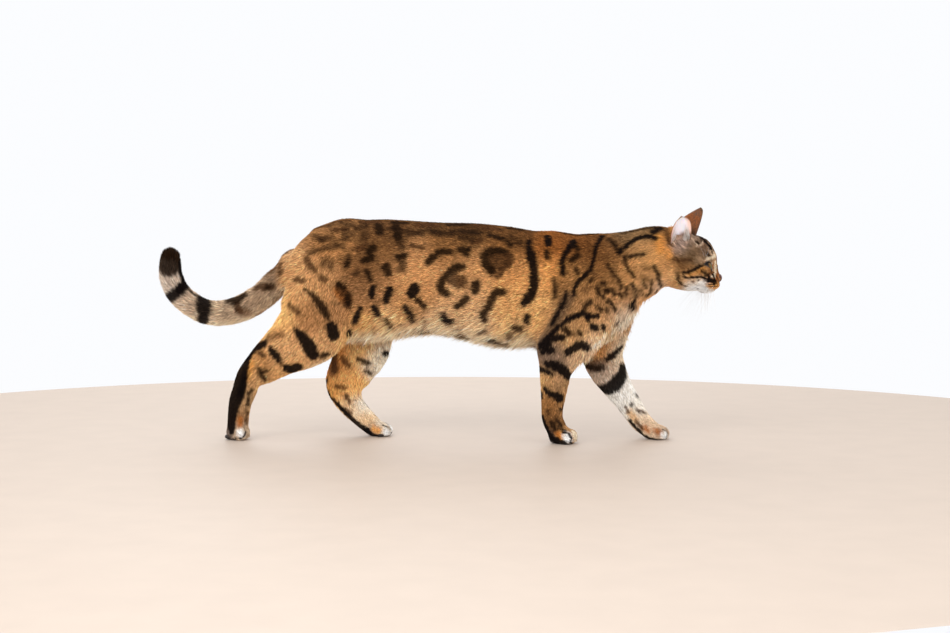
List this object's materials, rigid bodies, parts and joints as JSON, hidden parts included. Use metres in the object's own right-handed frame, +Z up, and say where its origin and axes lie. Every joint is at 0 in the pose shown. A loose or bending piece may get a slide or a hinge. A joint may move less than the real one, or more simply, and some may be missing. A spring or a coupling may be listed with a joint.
{
  "type": "spotted cat",
  "caption": "Life-size still model of a short-haired spotted cat walking with head low and tail curled up behind, standing on the flats of its paws.",
  "frame": {"origin": "centre of the bounding box in plan, on the floor plane through the soles of the paws", "axes": "+X the way the cat walks, along its length; +Y its left side; +Z up"},
  "size_m": [0.7844, 0.1256, 0.3216],
  "materials": {
    "coat": "short dense fur, tan with dark brown and black spots and rosettes",
    "dark_coat": "short dense fur, near black",
    "ear_skin": "thin skin with fine down, pale pink inside",
    "eye": "wet and clear, green-gold iris",
    "nose_leather": "bare, dark brick red, slightly moist"
  },
  "bodies": {
    "root": {"trunk": "coat", "neck": "coat", "head": "coat", "ear_right": "ear_skin", "ear_left": "ear_skin", "eye_right": "eye", "eye_left": "eye", "nose": "nose_leather", "tail_base": "coat", "tail_middle": "coat", "tail_tip": "dark_coat", "upper_foreleg_right": "coat", "forearm_right": "coat", "forepaw_right": "coat", "upper_foreleg_left": "coat", "forearm_left": "coat", "forepaw_left": "coat", "thigh_right": "coat", "shank_right": "coat", "hock_right": "coat", "hindpaw_right": "coat", "thigh_left": "coat", "shank_left": "coat", "hock_left": "coat", "hindpaw_left": "coat"}
  },
  "joints": []
}
